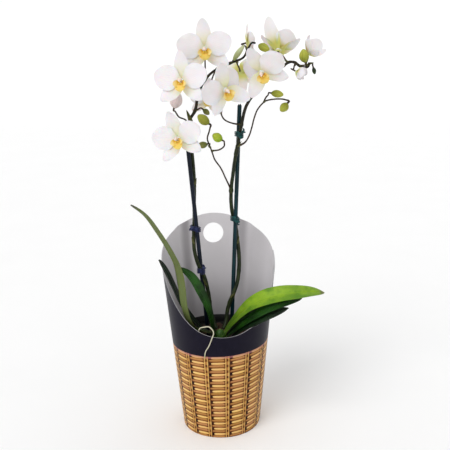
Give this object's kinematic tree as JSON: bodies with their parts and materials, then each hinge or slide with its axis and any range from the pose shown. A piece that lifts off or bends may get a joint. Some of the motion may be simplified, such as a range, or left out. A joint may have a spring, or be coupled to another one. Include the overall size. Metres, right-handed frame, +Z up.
{
  "type": "potted moth orchid",
  "caption": "White moth orchid on two staked arching spikes, in a black nursery pot inside a tapered card sleeve with a tall back panel and a carry hole.",
  "frame": {"origin": "centre of the nursery pot's flat bottom, on the surface the plant stands on", "axes": "+Z up along the pot's axis, -Y towards the low front of the sleeve, +X to the right as seen from the front"},
  "size_m": [0.183, 0.1126, 0.4005],
  "materials": {
    "sleeve_card": "coated paperboard, printed with a wicker pattern under a plain dark band, grey inside",
    "pot_plastic": "thin black plastic with a soft sheen",
    "bark": "rough, dark, damp bark chips",
    "stake_navy": "plastic-coated, smooth, half matt",
    "stake_teal": "plastic-coated, smooth, half matt",
    "crown": "waxy leaf bases",
    "leaf_olive": "waxy, grey-green upper side",
    "leaf_light": "waxy, bright green, glossy",
    "leaf_mid": "waxy, deep green, glossy",
    "leaf_dark": "waxy, very dark green",
    "stem": "smooth olive stem with brown stalks",
    "tie_navy": "plastic-covered wire",
    "tie_teal": "plastic-covered wire",
    "root": "dry, papery, cream",
    "petal": "soft, slightly see-through, faintly veined",
    "lip": "waxy yellow with pale edges",
    "bud": "smooth, waxy, yellow-green"
  },
  "bodies": {
    "root": {"carry_sleeve": "sleeve_card", "nursery_pot": "pot_plastic", "bark_medium": "bark", "stake_left": "stake_navy", "stake_right": "stake_teal", "crown": "crown", "leaf_left_tall": "leaf_olive", "leaf_left_small": "leaf_mid", "leaf_left_low": "leaf_dark", "leaf_right_top": "leaf_light", "leaf_right_mid": "leaf_mid", "leaf_right_low": "leaf_dark", "spike_left": "stem", "spike_right": "stem", "tie_left_low": "tie_navy", "tie_left_high": "tie_navy", "tie_right_low": "tie_teal", "tie_right_high": "tie_teal", "air_root": "root", "flower_1_tepals": "petal", "flower_1_lip": "lip", "flower_2_tepals": "petal", "flower_2_lip": "lip", "flower_3_tepals": "petal", "flower_3_lip": "lip", "flower_4_tepals": "petal", "flower_4_lip": "lip", "flower_5_tepals": "petal", "flower_5_lip": "lip", "flower_6_tepals": "petal", "flower_6_lip": "lip", "flower_7_tepals": "petal", "flower_7_lip": "lip", "flower_8_tepals": "petal", "flower_8_lip": "lip", "flower_9_tepals": "petal", "flower_9_lip": "lip", "flower_10_tepals": "petal", "flower_10_lip": "lip", "flower_11_tepals": "petal", "flower_11_lip": "lip", "bud_pale": "bud", "bud_small_left": "bud", "bud_slender": "bud", "bud_left_top": "bud", "bud_left_low": "bud", "bud_left_bright": "bud", "bud_right_top": "bud", "bud_right_low": "bud", "bud_top": "bud", "bud_end": "bud", "bud_tip": "bud"}
  },
  "joints": []
}
